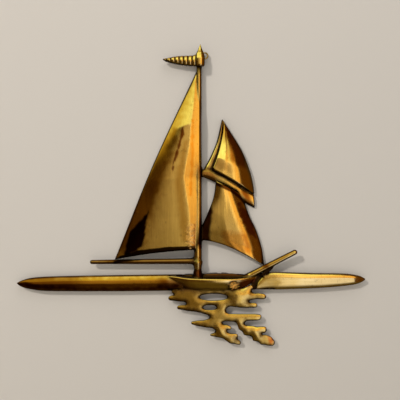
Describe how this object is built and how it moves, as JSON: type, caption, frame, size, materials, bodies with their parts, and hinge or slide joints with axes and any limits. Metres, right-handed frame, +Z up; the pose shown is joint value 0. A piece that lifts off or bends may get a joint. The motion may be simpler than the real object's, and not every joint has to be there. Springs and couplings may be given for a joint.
{
  "type": "sailing boat wall sculpture",
  "caption": "Hollow-backed cast brass wall sculpture of a sailing boat on the water, with its rippled reflection below, hung from a loop behind the masthead.",
  "frame": {"origin": "hanging point: on the wall, behind the inside top of the hanging loop, where the loop bears on its hook", "axes": "+X to the viewer's right, +Z up, -Y out from the wall towards the viewer; Y = 0 is the wall"},
  "size_m": [0.7, 0.0249, 0.6043],
  "materials": {
    "polished_brass": "aged polish, tarnished brown in the grooves",
    "loop_wire": "dull drawn wire"
  },
  "bodies": {
    "root": {"sailboat_casting": "polished_brass", "hanging_loop": "loop_wire"}
  },
  "joints": []
}
